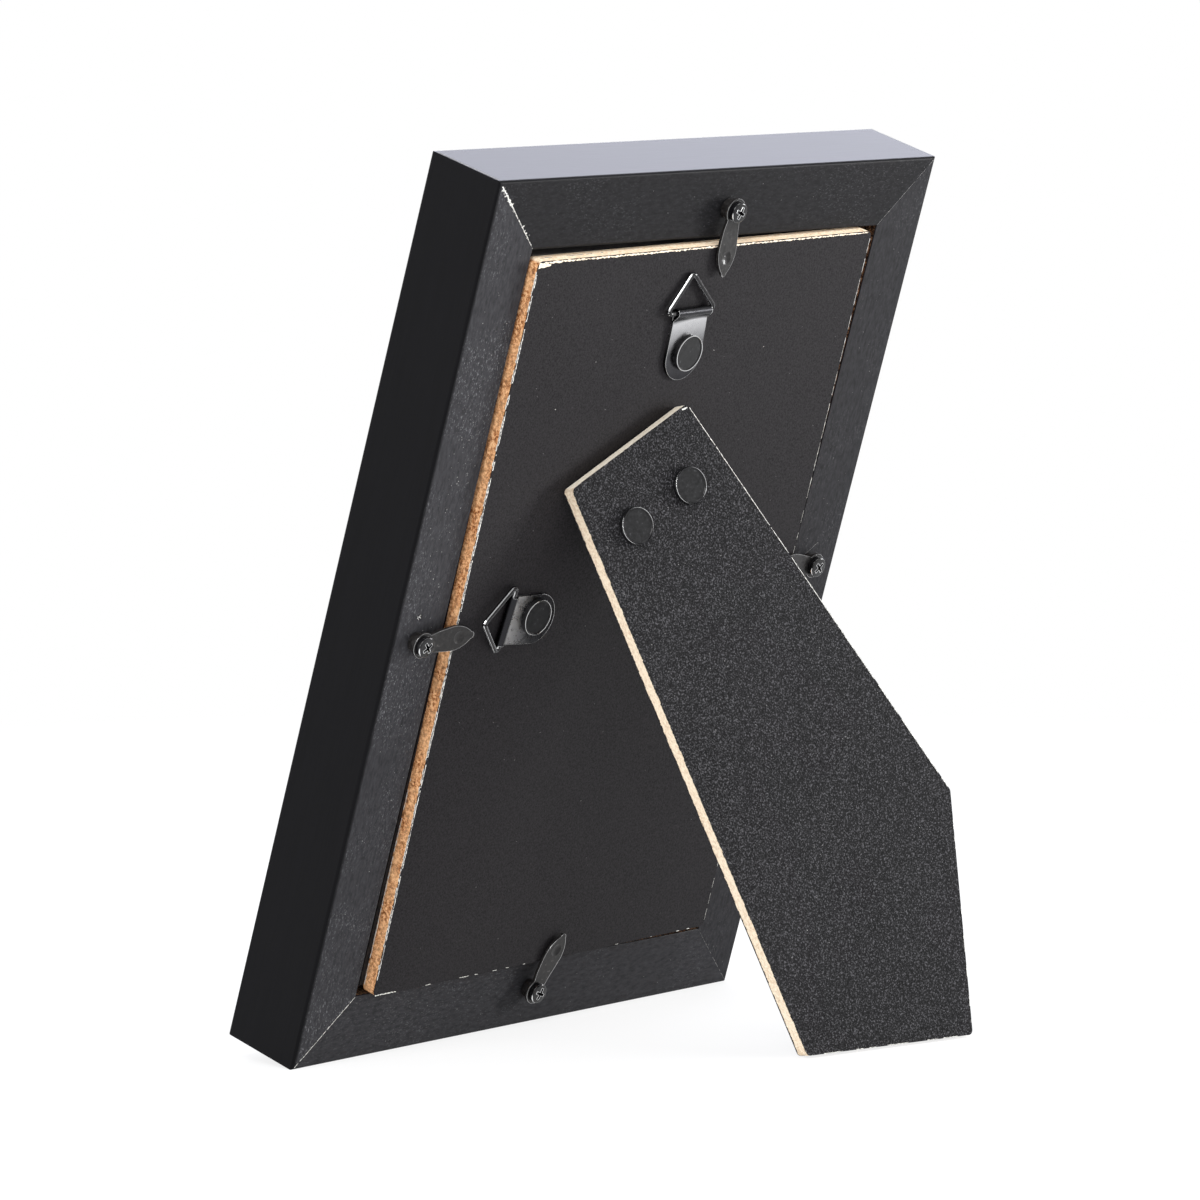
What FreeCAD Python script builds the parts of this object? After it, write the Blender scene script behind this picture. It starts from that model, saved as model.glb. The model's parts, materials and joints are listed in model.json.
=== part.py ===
"""Easel back photo frame for one 10 x 15 cm print, standing on its open leg.

Millimetres and degrees. The pieces are drawn as someone behind the frame sees them: x to the right,
y up the frame, z out of the back, with z = 0 on the back face of the rails. Left and right are named
from behind. At the end the frame is leaned back until the back edge of the bottom rail and the foot
of the leg stand on one level, and it is written out with +Z up, its front facing -Y and the origin
on the floor under the middle of the whole.
"""
import FreeCAD
import Part
import math
import os

from FreeCAD import Matrix, Rotation, Vector

# Frame rails
frame_width = 132.0
frame_height = 182.0
frame_depth = 17.8
rail_back_width = 14.0
rabbet_width = 5.0
rabbet_depth = 5.75
rail_arris = 0.6
rabbet_arris = 0.3

# V nails that hold the mitres, punched in below the back face
nail_leg = 4.0
nail_sheet = 0.5
nail_height = 7.0
nail_sunk = 2.0

# What lies in the rabbet, front to back
glass_thickness = 2.0
print_thickness = 0.25
filler_thickness = 2.4
glass_gap = 1.0
print_gap = 1.2
filler_gap = 1.5

# Backing board, a fibreboard core with black paper on its outside
board_core = 2.8
board_paper = 0.2
board_side_gap = 2.0
board_end_gap = 1.0
board_corner = 1.2
board_turn_share = 0.78
board_shift_x_share = -0.2
board_shift_y_share = -0.08

# Rivets: a flat rimmed head, a hollow shank and a rolled end
rivet_head = 7.4
rivet_head_height = 0.9
rivet_rim = 0.35
rivet_rim_height = 0.12
rivet_arris = 0.18
rivet_shank = 2.9
rivet_bore = 2.0
rivet_roll = 4.8
rivet_roll_height = 0.5
small_head = 5.0
small_head_height = 0.45
hole_clearance = 0.05
roll_clearance = 0.15

# Triangular hanging rings and their folded straps, whose fold lies beside the rivet's middle line
wire = 1.0
ring_half_base = 7.3
ring_height = 8.05
ring_bend = 0.7
ring_split = 0.12
ring_rest_gap = 0.15
strap_sheet = 0.35
strap_reach = 8.55
strap_skew = 1.05
strap_end_radius = 5.15
strap_end_shift = 0.5
strap_end_offset = 0.55
strap_fold_start = 6.85
strap_side_play = 0.05
strap_loop_clearance = 0.05
top_hanger_x = -0.79
top_hanger_drop = 21.54
top_hanger_angle = 90.8
top_ring_lean = 1.6
top_ring_slide = 0.5
left_hanger_inset = 21.82
left_hanger_y = 2.08
left_hanger_angle = 173.3
left_ring_lean = 0.7
left_ring_slide = -0.5
left_ring_lift = 8.5

# Turn buttons: a ring end on a drawn collar, a leaf that rises a little and a pressed pip
button_sheet = 0.6
button_ring = 5.1
button_collar = 3.9
button_lift = 0.15
button_drop = 0.1
button_rise_start = 4.0
button_rise_angle = 5.5
button_neck = 2.7
button_shoulder = 4.4
button_shoulder_place = 4.6
button_leaf = 5.1
button_leaf_place = 7.9
button_taper = 3.7
button_taper_place = 10.8
button_reach = 13.1
button_tip_radius = 0.7
button_bend = 6.0
pip_width = 2.6
pip_depth = 0.3
pip_place = 9.1
button_bore_clearance = 0.05

# Button screws: flat pan heads with a cross recess
screw_head = 4.2
screw_head_height = 1.3
screw_head_side = 1.1
screw_head_arris = 0.35
screw_shank = 2.2
screw_length = 11.0
screw_tip = 1.5
screw_head_gap = 0.05
screw_hole_clearance = 0.02
cross_arm = 0.62
cross_width = 2.5
cross_depth = 0.8
screw_inset_top = 8.0
screw_inset_bottom = 8.3
screw_inset_left = 6.4
screw_inset_right = 9.1
screw_along_top = 2.95
screw_along_bottom = 0.35
screw_along_left = -1.65
screw_along_right = 4.4
screw_turn_top = 70.0
screw_turn_bottom = 68.0
screw_turn_left = 38.0
screw_turn_right = 45.0
button_angle_top = -91.0
button_angle_bottom = 73.6
button_angle_left = 6.3
button_angle_right = 174.0

# Leg and its hinge
hinge_x = -11.0
hinge_drop = 45.1
hinge_angle = 27.8
leg_opening = 30.0
leg_stop_gap = 0.15
hinge_sheet = 0.6
hinge_pin = 1.3
hinge_bore_clearance = 0.05
hinge_lift = 0.1
hinge_face_gap = 0.2
hinge_width = 18.0
hinge_middle = 10.0
knuckle_gap = 0.3
hinge_notch_gap = 0.4
board_leaf_length = 14.0
leg_leaf_length = 13.0
leg_leaf_width = 26.0
leg_core = 2.9
leg_paper = 0.2
leg_top_width = 32.7
leg_foot_x = 56.9
leg_foot_reach = 9.7
leg_foot_width = 41.1
leg_knee_height = 48.9
leg_corner = 1.0
leg_rivet_drop = 8.3
leg_rivet_spread = 15.3
board_rivet_drop = 10.0
board_rivet_spread = 7.0

# One overrun for every cut
overrun = 2.0

# Worked out from the sizes above
wall = rail_back_width + rabbet_width
opening_width = frame_width - 2 * rail_back_width
opening_height = frame_height - 2 * rail_back_width
board_thickness = board_core + board_paper
stack = glass_thickness + print_thickness + filler_thickness + board_thickness
board_face = stack - rabbet_depth
board_width = opening_width - 2 * board_side_gap
board_height = opening_height - 2 * board_end_gap
board_turn = board_turn_share * math.degrees(
    min(board_side_gap / (board_height / 2), board_end_gap / (board_width / 2)))
hinge_y = board_height / 2 - hinge_drop
leg_foot_y = -board_height / 2 - leg_foot_reach
board_x = board_shift_x_share * board_side_gap
board_y = board_shift_y_share * board_end_gap

wire_radius = wire / 2
strap_loop = wire_radius + strap_loop_clearance
strap_tube = strap_loop + strap_sheet
strap_thickness = 2 * strap_sheet
ring_lean = max(abs(top_ring_lean), abs(left_ring_lean))
ring_slide = max(abs(top_ring_slide), abs(left_ring_slide))
ring_base_angle = math.atan2(ring_height, ring_half_base + ring_lean)
ring_straight = ring_half_base - ring_bend / math.tan(ring_base_angle / 2)
strap_width = 2 * (ring_straight - ring_slide - strap_side_play)
ring_apex = ring_height - ring_bend / math.cos(ring_base_angle) + ring_bend

button_low = board_face - button_drop
button_slope = math.radians(button_rise_angle)
pip_height = button_low + (pip_place - button_rise_start) * math.tan(button_slope)
screw_seat = button_low + button_sheet + screw_head_gap

knuckle_bore = hinge_pin / 2 + hinge_bore_clearance
knuckle_radius = knuckle_bore + hinge_sheet
axis_height = knuckle_radius + hinge_lift
leg_face = knuckle_radius + hinge_face_gap
leg_thickness = leg_core + 2 * leg_paper
opening_angle = math.radians(leg_opening)
leg_overhang = (axis_height + leg_face * math.cos(opening_angle) - leg_stop_gap) / math.sin(opening_angle)


def corner_arc(before, corner, after, radius):
    """Return the two tangent points, the middle point and the centre of a rounded corner."""
    inward = (before - corner).normalize()
    onward = (after - corner).normalize()
    half = inward.getAngle(onward) / 2
    reach = radius / math.tan(half)
    middle_way = (inward + onward).normalize()
    centre = corner + middle_way * (radius / math.sin(half))
    return corner + inward * reach, centre - middle_way * radius, corner + onward * reach, centre


def outline(corners):
    """Make a closed flat wire from (x, y, corner radius) places."""
    points = [Vector(x, y, 0) for x, y, _ in corners]
    count = len(corners)
    starts = []
    edges = []
    for i, (_, _, radius) in enumerate(corners):
        if radius > 0:
            first, middle, last, _ = corner_arc(points[i - 1], points[i], points[(i + 1) % count], radius)
            edges.append([Part.Arc(first, middle, last).toShape()])
        else:
            first = last = points[i]
            edges.append([])
        starts.append((first, last))
    wire_edges = []
    for i in range(count):
        wire_edges += edges[i]
        here = starts[i][1]
        there = starts[(i + 1) % count][0]
        if here.distanceToPoint(there) > Part.Precision.confusion():
            wire_edges.append(Part.makeLine(here, there))
    return Part.Wire(wire_edges)


def plate(corners, low, high):
    """Extrude a flat outline from z = low to z = high."""
    solid = Part.Face(outline(corners)).extrude(Vector(0, 0, high - low))
    solid.translate(Vector(0, 0, low))
    return solid


def rectangle(width, height, radius=0):
    """List the corners of a rectangle about the origin."""
    x = width / 2
    y = height / 2
    return [(-x, -y, radius), (x, -y, radius), (x, y, radius), (-x, y, radius)]


def disc(radius, low, high, x=0, y=0):
    """Make a round bar along z."""
    return Part.makeCylinder(radius, high - low, Vector(x, y, low), Vector(0, 0, 1))


def across(face, width):
    """Extrude a face drawn in x and height, so that it is as wide as width along y."""
    solid = face.extrude(Vector(0, 0, width))
    solid.rotate(Vector(0, 0, 0), Vector(1, 0, 0), 90)
    solid.translate(Vector(0, width / 2, 0))
    return solid


def turned(corners):
    """Turn a profile of (radius, height, corner radius) places about z."""
    face = Part.Face(outline(corners))
    face.rotate(Vector(0, 0, 0), Vector(1, 0, 0), 90)
    return face.revolve(Vector(0, 0, 0), Vector(0, 0, 1), 360)


def placed(shape, x, y, z=0, angle=0):
    """Turn a copy about z, then move it."""
    copy = shape.copy()
    copy.rotate(Vector(0, 0, 0), Vector(0, 0, 1), angle)
    copy.translate(Vector(x, y, z))
    return copy


def group(shapes):
    """Keep several solids in one node."""
    return Part.makeCompound(shapes)


# Rails
def rail_blank(length):
    """Make one rail with square ends, its outer edge along y = 0 and its wall towards +y."""
    section = [
        (0, 0, rail_arris), (0, -frame_depth, rail_arris), (wall, -frame_depth, rail_arris),
        (wall, -rabbet_depth, 0), (rail_back_width, -rabbet_depth, 0), (rail_back_width, 0, rabbet_arris)]
    blank = Part.Face(outline(section)).extrude(Vector(0, 0, length))
    blank.rotate(Vector(0, 0, 0), Vector(1, 0, 0), 90)
    blank.rotate(Vector(0, 0, 0), Vector(0, 0, 1), 90)
    blank.translate(Vector(-length / 2, 0, 0))
    return blank


def rail(length):
    """Cut both ends of a rail to the mitre."""
    half = length / 2
    mitre = [(-half, 0, 0), (half, 0, 0), (half - wall, wall, 0), (wall - half, wall, 0)]
    return rail_blank(length).common(plate(mitre, -frame_depth - overrun, overrun))


def v_nail():
    """Make one V nail whose point lies on the mitre, which runs along +y."""
    reach = nail_leg / math.sqrt(2)
    slope = nail_sheet * math.sqrt(2)
    chevron = [(0, -slope / 2, 0), (reach, reach - slope / 2, 0), (reach, reach + slope / 2, 0),
               (0, slope / 2, 0), (-reach, reach + slope / 2, 0), (-reach, reach - slope / 2, 0)]
    return plate(chevron, -nail_sunk - nail_height, -nail_sunk)


def v_nails():
    """Set one V nail across each of the four mitres, half way along it."""
    nails = []
    for side_x in (-1, 1):
        for side_y in (-1, 1):
            x = side_x * (frame_width - rail_back_width) / 2
            y = side_y * (frame_height - rail_back_width) / 2
            nails.append(placed(v_nail(), x, y, 0, math.degrees(math.atan2(-side_x, side_y))))
    return group(nails)


def screw_places():
    """List each button's name, screw place, its leaf's direction and the turn of its cross recess."""
    half_width = frame_width / 2
    half_height = frame_height / 2
    return [
        ("top", screw_along_top, half_height - screw_inset_top, button_angle_top, screw_turn_top),
        ("bottom", screw_along_bottom, screw_inset_bottom - half_height, button_angle_bottom,
         screw_turn_bottom),
        ("left", screw_inset_left - half_width, screw_along_left, button_angle_left, screw_turn_left),
        ("right", half_width - screw_inset_right, screw_along_right, button_angle_right,
         screw_turn_right)]


def rails():
    """Make the four mitred rails with their screw holes and nail slots."""
    half_width = frame_width / 2
    half_height = frame_height / 2
    long_rail = rail(frame_height)
    short_rail = rail(frame_width)
    made = {
        "bottom_rail": placed(short_rail, 0, -half_height),
        "top_rail": placed(short_rail, 0, half_height, 0, 180),
        "left_rail": placed(long_rail, -half_width, 0, 0, -90),
        "right_rail": placed(long_rail, half_width, 0, 0, 90)}
    hole_radius = screw_shank / 2 + screw_hole_clearance
    depth = screw_length - screw_seat
    cutters = [v_nails()]
    for _, x, y, _, _ in screw_places():
        cutters.append(disc(hole_radius, -depth, overrun, x, y))
    return {name: solid.cut(cutters) for name, solid in made.items()}


# Glass, print and filler
def sheet(gap, low, thickness):
    """Make a sheet that lies in the rabbet with a gap all round."""
    return plate(rectangle(opening_width - 2 * gap, opening_height - 2 * gap), low, low + thickness)


def rolled_ends():
    """List the places on the board where a rivet is rolled over on the inside."""
    places = [(spot[1], spot[2]) for spot in hanger_places()]
    return places + [from_hinge(x, y) for x, y in board_rivet_places()]


def filler_card(low):
    """Make the soft card, dented where the rivets' rolled ends press into it."""
    card = sheet(filler_gap, low, filler_thickness)
    radius = rivet_roll / 2 + roll_clearance
    depth = rivet_roll_height + roll_clearance
    dents = [on_board(disc(radius, -board_thickness - depth, overrun, x, y)) for x, y in rolled_ends()]
    return card.cut(dents)


# Backing board
def on_board(shape):
    """Move a piece from the board's own axes, z = 0 on its outer face, to the frame's."""
    return placed(shape, board_x, board_y, board_face, board_turn)


def from_hinge(x, y):
    """Turn a place along and across the hinge into a place on the board."""
    angle = math.radians(hinge_angle)
    return (hinge_x + x * math.cos(angle) - y * math.sin(angle),
            hinge_y + x * math.sin(angle) + y * math.cos(angle))


def to_hinge(x, y):
    """Turn a place on the board into one along and across the hinge."""
    angle = math.radians(hinge_angle)
    run = x - hinge_x
    rise = y - hinge_y
    return run * math.cos(angle) + rise * math.sin(angle), rise * math.cos(angle) - run * math.sin(angle)


def board_layer(low, high):
    """Make one layer of the backing board with the holes for its rivets."""
    layer = plate(rectangle(board_width, board_height, board_corner), low, high)
    radius = rivet_shank / 2 + hole_clearance
    holes = [disc(radius, low - overrun, high + overrun, x, y) for x, y in rolled_ends()]
    return on_board(layer.cut(holes))


# Rivets
def rivet(head, head_height, rim, rim_height, grip):
    """Make a hollow rivet whose head sits on z = 0 and whose rolled end closes at -grip."""
    head_radius = head / 2
    shank_radius = rivet_shank / 2
    bore_radius = rivet_bore / 2
    roll_radius = rivet_roll / 2
    end = -grip - rivet_roll_height
    return turned([
        (0, -grip / 2, 0), (bore_radius, -grip / 2, 0), (bore_radius, end, 0),
        (roll_radius, end, rivet_arris), (roll_radius, -grip, 0), (shank_radius, -grip, 0),
        (shank_radius, 0, 0), (head_radius, 0, 0), (head_radius, head_height, rivet_arris),
        (head_radius - rim, head_height, 0), (head_radius - rim - rim_height, head_height - rim_height, 0),
        (0, head_height - rim_height, 0)])


# Hanging straps and rings
def strap_section():
    """Draw the folded strap from the side: x towards the ring, y above the board."""
    tube = Vector(strap_reach, strap_tube, 0)
    bend = Vector(strap_fold_start, strap_thickness, 0)
    gap = tube.distanceToPoint(bend)
    slope = math.atan2(tube.y - bend.y, tube.x - bend.x) + math.asin(strap_tube / gap)
    away = Vector(-math.sin(slope), math.cos(slope), 0)
    far = Vector(1, 0, 0)

    def teardrop(radius, low, last):
        """Close a drop round the bar from its foot, round its far side and down its slope."""
        return [Part.makeLine(last, Vector(tube.x, low, 0)),
                Part.Arc(Vector(tube.x, low, 0), tube + far * radius, tube + away * radius).toShape()]

    end = Vector(-strap_end_radius - strap_end_shift - overrun, 0, 0)
    end_top = Vector(end.x, strap_thickness, 0)
    outer = Part.Wire(teardrop(strap_tube, 0, end) + [
        Part.makeLine(tube + away * strap_tube, bend), Part.makeLine(bend, end_top),
        Part.makeLine(end_top, end)])
    inside_top = tube + away * strap_loop
    meet = Vector(inside_top.x - (inside_top.y - strap_sheet) / math.tan(slope), strap_sheet, 0)
    inner = Part.Wire(teardrop(strap_loop, strap_sheet, meet) + [Part.makeLine(inside_top, meet)])
    return Part.Face(outer).cut(Part.Face(inner)).Faces[0]


def strap():
    """Make one hanging strap with its rivet at the origin and its ring towards +x."""
    body = across(strap_section(), 4 * strap_end_radius)
    half_width = strap_width / 2
    tube = strap_reach - strap_tube
    far = strap_reach + strap_tube + overrun
    top = 2 * strap_tube + overrun
    round_end = disc(strap_end_radius, -overrun, top, -strap_end_shift, strap_end_offset)
    straight = plate([
        (-strap_end_shift, strap_end_offset - strap_end_radius, 0), (tube, strap_skew - half_width, 0),
        (far, strap_skew - half_width, 0), (far, strap_skew + half_width, 0),
        (tube, strap_skew + half_width, 0), (-strap_end_shift, strap_end_offset + strap_end_radius, 0)],
        -overrun, top)
    hole = disc(rivet_shank / 2 + hole_clearance, -overrun, top)
    return body.common(round_end.fuse(straight)).cut(hole)


def ring_path(split, lean, slide):
    """Draw the wire's middle line: its bar along y, its point towards +x, open at corner split."""
    points = [Vector(0, slide + ring_half_base, 0), Vector(ring_height, slide + lean, 0),
              Vector(0, slide - ring_half_base, 0)]
    order = [points[(split + step) % 3] for step in range(3)]
    turns = [corner_arc(order[i - 1], order[i], order[(i + 1) % 3], ring_bend) for i in range(3)]

    def swung(centre, point, angle):
        """Turn a point about a corner's centre."""
        return centre + Rotation(Vector(0, 0, 1), math.degrees(angle)).multVec(point - centre)

    first, middle, last, centre = turns[0]
    half_gap = -ring_split / (2 * ring_bend)
    sweep = (middle - centre).getAngle(last - centre)
    start = swung(centre, middle, half_gap)
    early = swung(centre, middle, (half_gap - sweep) / 2)
    finish = swung(centre, middle, -half_gap)
    late = swung(centre, middle, (sweep - half_gap) / 2)
    edges = [Part.Arc(start, early, last).toShape()]
    here = last
    for near, bend, away, _ in turns[1:]:
        edges += [Part.makeLine(here, near), Part.Arc(near, bend, away).toShape()]
        here = away
    edges += [Part.makeLine(here, first), Part.Arc(first, late, finish).toShape()]
    return Part.Wire(edges), start


def ring(split, lean, slide):
    """Bend one round wire into the triangle."""
    path, start = ring_path(split, lean, slide)
    heading = path.Edges[0].tangentAt(path.Edges[0].FirstParameter)
    section = Part.Wire([Part.makeCircle(wire_radius, start, heading)])
    return path.makePipeShell([section], True, False)


def ring_droop():
    """Give the angle by which a resting ring dips towards the board."""
    drop = strap_tube - wire_radius - ring_rest_gap
    return math.degrees(math.asin(drop / (ring_apex - wire_radius)))


def hanger_places():
    """List each hanger: name, rivet place, direction, its ring's open corner, lean, slide and dip."""
    return [("top", top_hanger_x, board_height / 2 - top_hanger_drop, top_hanger_angle,
             (0, top_ring_lean, top_ring_slide), ring_droop()),
            ("left", left_hanger_inset - board_width / 2, left_hanger_y, left_hanger_angle,
             (1, left_ring_lean, left_ring_slide), -left_ring_lift)]


def hanger(x, y, angle, shape, dip):
    """Make a strap, its rivet and its ring at one place on the board."""
    loop = ring(*shape)
    loop.rotate(Vector(0, 0, 0), Vector(0, 1, 0), dip)
    loop.translate(Vector(strap_reach, strap_skew, strap_tube))
    pin = rivet(rivet_head, rivet_head_height, rivet_rim, rivet_rim_height, board_thickness + strap_thickness)
    pin.translate(Vector(0, 0, strap_thickness))
    return [on_board(placed(piece, x, y, 0, angle)) for piece in (strap(), pin, loop)]


# Turn buttons and screws
def button_section():
    """Draw a button's sheet from the side: x along its leaf, y above the rail."""
    inset = button_sheet * math.tan(button_slope / 2)
    back = -button_ring / 2 - overrun
    far = button_reach + overrun
    rise = (far - button_rise_start) * math.tan(button_slope)
    thickness = button_sheet / math.cos(button_slope)
    return [
        (back, button_low, 0), (button_rise_start, button_low, button_bend),
        (far, button_low + rise, 0), (far, button_low + rise + thickness, 0),
        (button_rise_start - inset, button_low + button_sheet, button_bend),
        (back, button_low + button_sheet, 0)]


def button_plan(low, high):
    """Make a block with the button's outline: a ring end and a pointed leaf."""
    start = Vector(0, button_neck / 2, 0)
    shoulder = Vector(button_shoulder_place, button_shoulder / 2, 0)
    wide = Vector(button_leaf_place, button_leaf / 2, 0)
    taper = Vector(button_taper_place, button_taper / 2, 0)
    tip = Vector(button_reach - button_tip_radius, button_tip_radius, 0)
    point = Vector(button_reach, 0, 0)

    def mirrored(place):
        """Reflect a place across the button's middle line."""
        return Vector(place.x, -place.y, 0)

    edges = [
        Part.Arc(start, shoulder, wide).toShape(), Part.Arc(wide, taper, tip).toShape(),
        Part.Arc(tip, point, mirrored(tip)).toShape(),
        Part.Arc(mirrored(tip), mirrored(taper), mirrored(wide)).toShape(),
        Part.Arc(mirrored(wide), mirrored(shoulder), mirrored(start)).toShape(),
        Part.makeLine(mirrored(start), start)]
    blade = Part.Face(Part.Wire(edges)).extrude(Vector(0, 0, high - low))
    blade.translate(Vector(0, 0, low))
    return blade.fuse(disc(button_ring / 2, low, high))


def cap_ball(width, depth, rim_height):
    """Make the ball whose lowest cap is width across at rim_height and depth deep."""
    radius = ((width / 2) ** 2 + depth ** 2) / (2 * depth)
    return Part.makeSphere(radius, Vector(pip_place, 0, rim_height - depth + radius))


def button():
    """Make one turn button with its screw hole at the origin and its leaf towards +x."""
    top = button_low + button_reach
    body = across(Part.Face(outline(button_section())), 2 * button_ring)
    body = body.common(button_plan(button_low - overrun, top))
    below = disc(pip_width, pip_height - pip_depth, pip_height + button_sheet / 2, pip_place)
    body = body.fuse(cap_ball(pip_width, pip_depth, pip_height).common(below))
    body = body.cut(cap_ball(pip_width, pip_depth, pip_height + button_sheet))
    body = body.fuse(disc(button_collar / 2, button_lift, button_low + button_sheet / 2))
    hole = disc(screw_shank / 2 + button_bore_clearance, button_lift - overrun, top)
    return body.cut(hole).removeSplitter()


def screw():
    """Make one pan head screw that holds a button down."""
    head_radius = screw_head / 2
    shank_radius = screw_shank / 2
    end = screw_seat - screw_length
    blank = turned([
        (0, end, 0), (shank_radius, end + screw_tip, 0), (shank_radius, screw_seat, 0),
        (head_radius, screw_seat, 0), (head_radius, screw_seat + screw_head_side, screw_head_arris),
        (0, screw_seat + screw_head_height, 0)])
    low = screw_seat + screw_head_height - cross_depth
    high = screw_seat + screw_head_height + overrun
    arm = plate(rectangle(cross_width, cross_arm), low, high)
    return blank.cut([arm, placed(arm, 0, 0, 0, 90)])


# Leg and hinge, drawn folded flat with x along the hinge and z = 0 on its axis
def barrel(start, end):
    """Make one knuckle round the hinge axis."""
    along = Vector(1, 0, 0)
    tube = Part.makeCylinder(knuckle_radius, end - start, Vector(start, 0, 0), along)
    bore = Part.makeCylinder(knuckle_bore, end - start + 2 * overrun, Vector(start - overrun, 0, 0), along)
    return tube.cut(bore), bore


def hinge_leaf(low, length, width, spans, cleared):
    """Make a leaf whose plate starts at height low, with knuckles on spans and notches elsewhere."""
    half = width / 2
    leaf = plate([(-half, -length, leg_corner), (half, -length, leg_corner), (half, 0, 0), (-half, 0, 0)],
                 low, low + hinge_sheet)
    notch = knuckle_radius + hinge_notch_gap
    for start, end in cleared:
        middle = (start + end) / 2
        gap = plate(rectangle(end - start, 2 * notch), low - overrun, low + hinge_sheet + overrun)
        leaf = leaf.cut(placed(gap, middle, 0))
    for start, end in spans:
        tube, bore = barrel(start, end)
        leaf = leaf.fuse(tube).cut(bore)
    return leaf.removeSplitter()


def hinge_leaves():
    """Make the board's leaf with its two outer knuckles and the leg's leaf with the middle one."""
    half = hinge_width / 2
    middle = hinge_middle / 2
    side = middle + knuckle_gap
    end = leg_leaf_width / 2 + overrun
    outer = [(-half, -side), (side, half)]
    inner = [(-middle, middle)]
    board_leaf = hinge_leaf(-axis_height, board_leaf_length, hinge_width, outer, [(-side, side)])
    leg_leaf = hinge_leaf(leg_face - hinge_sheet, leg_leaf_length, leg_leaf_width, inner,
                          [(-end, -middle), (middle, end)])
    drill = rivet_shank / 2 + hole_clearance
    for x, y in board_rivet_places():
        board_leaf = board_leaf.cut(disc(drill, -axis_height - overrun, overrun, x, y))
    for x, y in leg_rivet_places():
        leg_leaf = leg_leaf.cut(disc(drill, 0, leg_face + overrun, x, y))
    return board_leaf, leg_leaf


def board_rivet_places():
    """List the board leaf's rivets along and across the hinge."""
    return [(side * board_rivet_spread / 2, -board_rivet_drop) for side in (-1, 1)]


def leg_rivet_places():
    """List the leg's rivets along and across the hinge."""
    return [(side * leg_rivet_spread / 2, -leg_rivet_drop) for side in (-1, 1)]


def leg_corners():
    """List the leg's corners: its foot and knee edges lie square to the board when it is folded."""
    half = leg_top_width / 2
    corners = [(-half, leg_overhang), (half, leg_overhang), to_hinge(leg_foot_x, leg_foot_y + leg_knee_height),
               to_hinge(leg_foot_x, leg_foot_y), to_hinge(leg_foot_x - leg_foot_width, leg_foot_y)]
    return [(x, y, leg_corner) for x, y in corners]


def leg_layer(low, high):
    """Make one layer of the leg with its rivet holes."""
    layer = plate(leg_corners(), low, high)
    radius = rivet_shank / 2 + hole_clearance
    return layer.cut([disc(radius, low - overrun, high + overrun, x, y) for x, y in leg_rivet_places()])


def at_hinge(shape):
    """Move a piece from the hinge's axes to the frame's."""
    return on_board(placed(shape, hinge_x, hinge_y, axis_height, hinge_angle))


def opened(shape):
    """Swing a leg piece open about the hinge and set it on the board."""
    copy = shape.copy()
    copy.rotate(Vector(0, 0, 0), Vector(1, 0, 0), -leg_opening)
    return at_hinge(copy)


def small_rivet(grip):
    """Make a plain low rivet for the hinge's board leaf."""
    return rivet(small_head, small_head_height, rivet_rim, 0, grip)


def leg_and_hinge():
    """Make every piece of the leg and its hinge."""
    board_leaf, leg_leaf = hinge_leaves()
    outer = leg_face + leg_thickness
    pin = Part.makeCylinder(hinge_pin / 2, hinge_width, Vector(-hinge_width / 2, 0, 0), Vector(1, 0, 0))
    leg_rivet = rivet(rivet_head, rivet_head_height, rivet_rim, rivet_rim_height, leg_thickness + hinge_sheet)
    board_rivet = small_rivet(board_thickness + hinge_sheet)
    leaf_top = hinge_sheet - axis_height
    return {
        "hinge_board_leaf": at_hinge(board_leaf),
        "hinge_board_rivets": at_hinge(group(
            [placed(board_rivet, x, y, leaf_top) for x, y in board_rivet_places()])),
        "hinge_pin": at_hinge(pin),
        "hinge_leg_leaf": opened(leg_leaf),
        "leg_inner_paper": opened(leg_layer(leg_face, leg_face + leg_paper)),
        "leg_board": opened(leg_layer(leg_face + leg_paper, outer - leg_paper)),
        "leg_outer_paper": opened(leg_layer(outer - leg_paper, outer)),
        "leg_rivets": opened(group([placed(leg_rivet, x, y, outer) for x, y in leg_rivet_places()]))}


# Standing the frame up
def rail_edge_low(up):
    """Give how low the rounded back edge of the bottom rail reaches in the direction up."""
    centre = Vector(0, rail_arris - frame_height / 2, -rail_arris)
    return centre.dot(up) - rail_arris


def leg_foot_low(up):
    """Give how low the rounded foot corner of the open leg reaches in the direction up."""
    corners = leg_corners()
    knee, foot, toe = (Vector(x, y, 0) for x, y, _ in corners[2:5])
    centre = corner_arc(knee, foot, toe, leg_corner)[3]
    normal = opened_vector(Vector(0, 0, 1))
    centre = opened_place(Vector(centre.x, centre.y, leg_face))
    in_plane = (up - normal * up.dot(normal)).Length
    return centre.dot(up) - leg_corner * in_plane


def opened_place(place):
    """Move a place on the folded leg to where it lies with the leg open."""
    swung = Rotation(Vector(1, 0, 0), -leg_opening).multVec(place)
    turn = Rotation(Vector(0, 0, 1), hinge_angle).multVec(swung) + Vector(hinge_x, hinge_y, axis_height)
    return Rotation(Vector(0, 0, 1), board_turn).multVec(turn) + Vector(board_x, board_y, board_face)


def opened_vector(direction):
    """Turn a direction on the folded leg as opening the leg turns it."""
    return opened_place(direction) - opened_place(Vector(0, 0, 0))


def lean_angle():
    """Find the lean at which the rail's edge and the leg's foot stand level, by halving."""
    low = 0.0
    high = math.pi / 4
    for _ in range(60):
        middle = (low + high) / 2
        up = Vector(0, math.cos(middle), -math.sin(middle))
        if leg_foot_low(up) < rail_edge_low(up):
            high = middle
        else:
            low = middle
    return (low + high) / 2


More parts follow.
